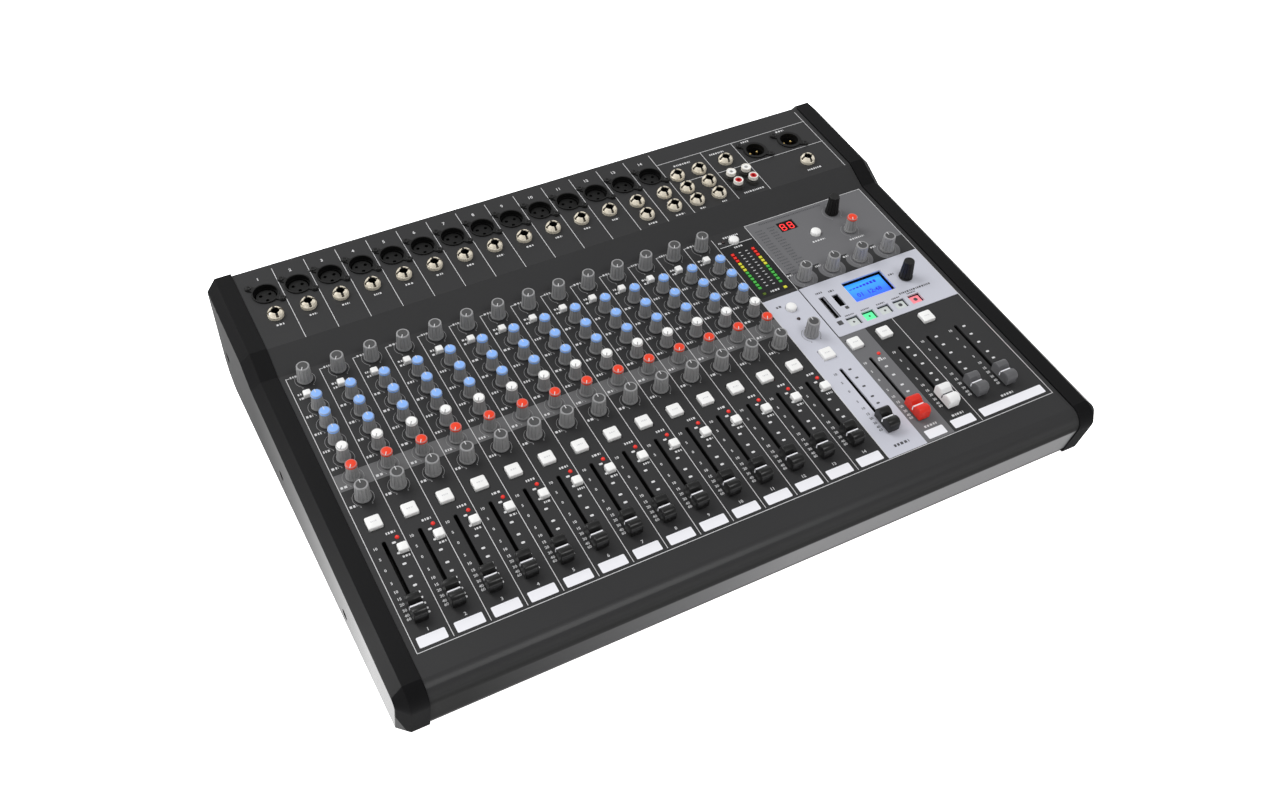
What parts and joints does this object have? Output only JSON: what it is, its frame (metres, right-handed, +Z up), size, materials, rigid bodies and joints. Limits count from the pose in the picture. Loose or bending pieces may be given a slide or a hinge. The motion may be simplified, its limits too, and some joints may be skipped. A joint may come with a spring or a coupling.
{
  "type": "audio mixing console",
  "caption": "Desktop audio mixing console with sliding faders, rotary knobs, push buttons, a media player with a display, and a raised rear field of XLR, jack and phono sockets.",
  "frame": {"origin": "centre of the underside's bounding rectangle, at the soles of the feet", "axes": "+X to the operator's right, +Y to the back where the sockets are, +Z up"},
  "size_m": [0.565, 0.4066, 0.1023],
  "materials": {
    "sheet_charcoal": "fine textured powder coat, charcoal",
    "case_metal": "satin black paint",
    "cheek_plastic": "satin black moulding",
    "player_silver": "satin silver paint",
    "screw_steel": "black zinc",
    "foot_rubber": "matt black",
    "socket_black": "matt black",
    "pin_gold": "gold plated",
    "nut_nickel": "bright nickel, warm",
    "rca_metal": "bright nickel",
    "rca_colour": "red and white insulators",
    "knob_grey": "mid grey, ribbed",
    "knob_black": "black, ribbed",
    "fader_black": "black, satin",
    "fader_red": "red, satin",
    "fader_white": "white, satin",
    "fader_grey": "grey, satin",
    "button_white": "white, satin",
    "key_clear": "translucent white",
    "led_lens": "coloured lenses",
    "display_dark": "dark red filter",
    "lcd_blue": "backlit blue",
    "port_steel": "stamped steel",
    "pot_metal": "zinc plated",
    "switch_black": "black moulding",
    "board_green": "green laminate",
    "supply_parts": "board, transformer and capacitors",
    "inlet_black": "black moulding",
    "cap_blue": "blue, satin",
    "print_light": "printed marks and labels"
  },
  "bodies": {
    "console": {"top_panel": "sheet_charcoal", "player_panel": "player_silver", "chassis": "case_metal", "cheek_left": "cheek_plastic", "cheek_right": "cheek_plastic", "screws": "screw_steel", "rubber_feet": "foot_rubber", "xlr_sockets": "socket_black", "xlr_output_shells": "socket_black", "xlr_output_pins": "pin_gold", "jack_sockets": "socket_black", "jack_nuts": "nut_nickel", "rca_shells": "rca_metal", "rca_inserts": "rca_colour", "knobs_inputs_02_to_14": "knob_grey", "knobs_sends": "knob_grey", "indicators": "led_lens", "segment_display": "display_dark", "lcd": "lcd_blue", "media_ports": "port_steel", "slide_pots": "pot_metal", "rotary_pots": "pot_metal", "switches": "switch_black", "circuit_boards": "board_green", "power_supply": "supply_parts", "power_inlet": "inlet_black"},
    "fader_input_01": {"fader_input_01": "fader_black"},
    "fader_input_02": {"fader_input_02": "fader_black"},
    "fader_input_03": {"fader_input_03": "fader_black"},
    "fader_input_04": {"fader_input_04": "fader_black"},
    "fader_input_05": {"fader_input_05": "fader_black"},
    "fader_input_06": {"fader_input_06": "fader_black"},
    "fader_input_07": {"fader_input_07": "fader_black"},
    "fader_input_08": {"fader_input_08": "fader_black"},
    "fader_input_09": {"fader_input_09": "fader_black"},
    "fader_input_10": {"fader_input_10": "fader_black"},
    "fader_input_11": {"fader_input_11": "fader_black"},
    "fader_input_12": {"fader_input_12": "fader_black"},
    "fader_input_13": {"fader_input_13": "fader_black"},
    "fader_input_14": {"fader_input_14": "fader_black"},
    "fader_return": {"fader_return": "fader_black"},
    "fader_fx": {"fader_fx": "fader_red"},
    "fader_aux": {"fader_aux": "fader_white"},
    "fader_main_left": {"fader_main_left": "fader_grey"},
    "fader_main_right": {"fader_main_right": "fader_grey"},
    "knob_pan_01": {"knob_pan_01": "knob_grey"},
    "knob_fx_01": {"knob_fx_01": "knob_grey"},
    "knob_aux_01": {"knob_aux_01": "knob_grey"},
    "knob_low_01": {"knob_low_01": "knob_grey"},
    "knob_mid_01": {"knob_mid_01": "knob_grey"},
    "knob_high_01": {"knob_high_01": "knob_grey"},
    "knob_gain_01": {"knob_gain_01": "knob_grey"},
    "knob_fx_program": {"knob_fx_program": "knob_black"},
    "knob_fx_level": {"knob_fx_level": "knob_grey"},
    "knob_return": {"knob_return": "knob_grey"},
    "knob_player": {"knob_player": "knob_black"},
    "buttons_square": {"buttons_square": "button_white"},
    "buttons_small": {"buttons_small": "button_white"},
    "keys_player": {"keys_player": "key_clear"},
    "power_rocker": {"power_rocker": "inlet_black"}
  },
  "joints": [
    {"name": "fader_input_01_slide", "type": "slide", "parent": "console", "child": "fader_input_01", "axis": [0, 0.9942, 0.108], "range_m": [-0.0024, 0.0576]},
    {"name": "fader_input_02_slide", "type": "slide", "parent": "console", "child": "fader_input_02", "axis": [0, 0.9942, 0.108], "range_m": [-0.0024, 0.0576]},
    {"name": "fader_input_03_slide", "type": "slide", "parent": "console", "child": "fader_input_03", "axis": [0, 0.9942, 0.108], "range_m": [-0.0024, 0.0576]},
    {"name": "fader_input_04_slide", "type": "slide", "parent": "console", "child": "fader_input_04", "axis": [0, 0.9942, 0.108], "range_m": [-0.0024, 0.0576]},
    {"name": "fader_input_05_slide", "type": "slide", "parent": "console", "child": "fader_input_05", "axis": [0, 0.9942, 0.108], "range_m": [-0.0024, 0.0576]},
    {"name": "fader_input_06_slide", "type": "slide", "parent": "console", "child": "fader_input_06", "axis": [0, 0.9942, 0.108], "range_m": [-0.0024, 0.0576]},
    {"name": "fader_input_07_slide", "type": "slide", "parent": "console", "child": "fader_input_07", "axis": [0, 0.9942, 0.108], "range_m": [-0.0024, 0.0576]},
    {"name": "fader_input_08_slide", "type": "slide", "parent": "console", "child": "fader_input_08", "axis": [0, 0.9942, 0.108], "range_m": [-0.0024, 0.0576]},
    {"name": "fader_input_09_slide", "type": "slide", "parent": "console", "child": "fader_input_09", "axis": [0, 0.9942, 0.108], "range_m": [-0.0024, 0.0576]},
    {"name": "fader_input_10_slide", "type": "slide", "parent": "console", "child": "fader_input_10", "axis": [0, 0.9942, 0.108], "range_m": [-0.0024, 0.0576]},
    {"name": "fader_input_11_slide", "type": "slide", "parent": "console", "child": "fader_input_11", "axis": [0, 0.9942, 0.108], "range_m": [-0.0024, 0.0576]},
    {"name": "fader_input_12_slide", "type": "slide", "parent": "console", "child": "fader_input_12", "axis": [0, 0.9942, 0.108], "range_m": [-0.0024, 0.0576]},
    {"name": "fader_input_13_slide", "type": "slide", "parent": "console", "child": "fader_input_13", "axis": [0, 0.9942, 0.108], "range_m": [-0.0024, 0.0576]},
    {"name": "fader_input_14_slide", "type": "slide", "parent": "console", "child": "fader_input_14", "axis": [0, 0.9942, 0.108], "range_m": [-0.0024, 0.0576]},
    {"name": "fader_return_slide", "type": "slide", "parent": "console", "child": "fader_return", "axis": [0, 0.9942, 0.108], "range_m": [-0.0024, 0.0576]},
    {"name": "fader_fx_slide", "type": "slide", "parent": "console", "child": "fader_fx", "axis": [0, 0.9942, 0.108], "range_m": [-0.0024, 0.0576]},
    {"name": "fader_aux_slide", "type": "slide", "parent": "console", "child": "fader_aux", "axis": [0, 0.9942, 0.108], "range_m": [-0.0024, 0.0576]},
    {"name": "fader_main_left_slide", "type": "slide", "parent": "console", "child": "fader_main_left", "axis": [0, 0.9942, 0.108], "range_m": [-0.0024, 0.0576]},
    {"name": "fader_main_right_slide", "type": "slide", "parent": "console", "child": "fader_main_right", "axis": [0, 0.9942, 0.108], "range_m": [-0.0024, 0.0576]},
    {"name": "knob_pan_01_turn", "type": "hinge", "parent": "console", "child": "knob_pan_01", "pos_m": [-0.244, -0.04317, 0.06518], "axis": [0, -0.108, 0.9942], "range_deg": [-150, 150]},
    {"name": "knob_fx_01_turn", "type": "hinge", "parent": "console", "child": "knob_fx_01", "pos_m": [-0.244, -0.02329, 0.06734], "axis": [0, -0.108, 0.9942], "range_deg": [-300, 0]},
    {"name": "knob_aux_01_turn", "type": "hinge", "parent": "console", "child": "knob_aux_01", "pos_m": [-0.244, -0.00499, 0.06933], "axis": [0, -0.108, 0.9942], "range_deg": [-300, 0]},
    {"name": "knob_low_01_turn", "type": "hinge", "parent": "console", "child": "knob_low_01", "pos_m": [-0.244, 0.01221, 0.0712], "axis": [0, -0.108, 0.9942], "range_deg": [-150, 150]},
    {"name": "knob_mid_01_turn", "type": "hinge", "parent": "console", "child": "knob_mid_01", "pos_m": [-0.244, 0.0301, 0.07314], "axis": [0, -0.108, 0.9942], "range_deg": [-150, 150]},
    {"name": "knob_high_01_turn", "type": "hinge", "parent": "console", "child": "knob_high_01", "pos_m": [-0.244, 0.04819, 0.07511], "axis": [0, -0.108, 0.9942], "range_deg": [-150, 150]},
    {"name": "knob_gain_01_turn", "type": "hinge", "parent": "console", "child": "knob_gain_01", "pos_m": [-0.244, 0.07752, 0.07829], "axis": [0, -0.108, 0.9942], "range_deg": [-300, 0]},
    {"name": "knob_fx_program_turn", "type": "hinge", "parent": "console", "child": "knob_fx_program", "pos_m": [0.2183, 0.07056, 0.07754], "axis": [0, -0.108, 0.9942], "continuous": true},
    {"name": "knob_fx_level_turn", "type": "hinge", "parent": "console", "child": "knob_fx_level", "pos_m": [0.2198, 0.04521, 0.07478], "axis": [0, -0.108, 0.9942], "range_deg": [-300, 0]},
    {"name": "knob_return_turn", "type": "hinge", "parent": "console", "child": "knob_return", "pos_m": [0.1236, -0.04367, 0.06513], "axis": [0, -0.108, 0.9942], "range_deg": [-150, 150]},
    {"name": "knob_player_turn", "type": "hinge", "parent": "console", "child": "knob_player", "pos_m": [0.2292, -0.02169, 0.06751], "axis": [0, -0.108, 0.9942], "continuous": true},
    {"name": "buttons_square_press", "type": "slide", "parent": "console", "child": "buttons_square", "axis": [0, 0.108, -0.9942], "range_m": [0, 0.0012], "stiffness_N_per_m": 400, "springref_m": -0.002},
    {"name": "buttons_small_press", "type": "slide", "parent": "console", "child": "buttons_small", "axis": [0, 0.108, -0.9942], "range_m": [0, 0.0012], "stiffness_N_per_m": 400, "springref_m": -0.002},
    {"name": "keys_player_press", "type": "slide", "parent": "console", "child": "keys_player", "axis": [0, 0.108, -0.9942], "range_m": [0, 0.0012], "stiffness_N_per_m": 400, "springref_m": -0.002},
    {"name": "power_rocker_tip", "type": "hinge", "parent": "console", "child": "power_rocker", "pos_m": [0.172, 0.1909, 0.043], "axis": [1, 0, 0], "range_deg": [0, 22]}
  ]
}
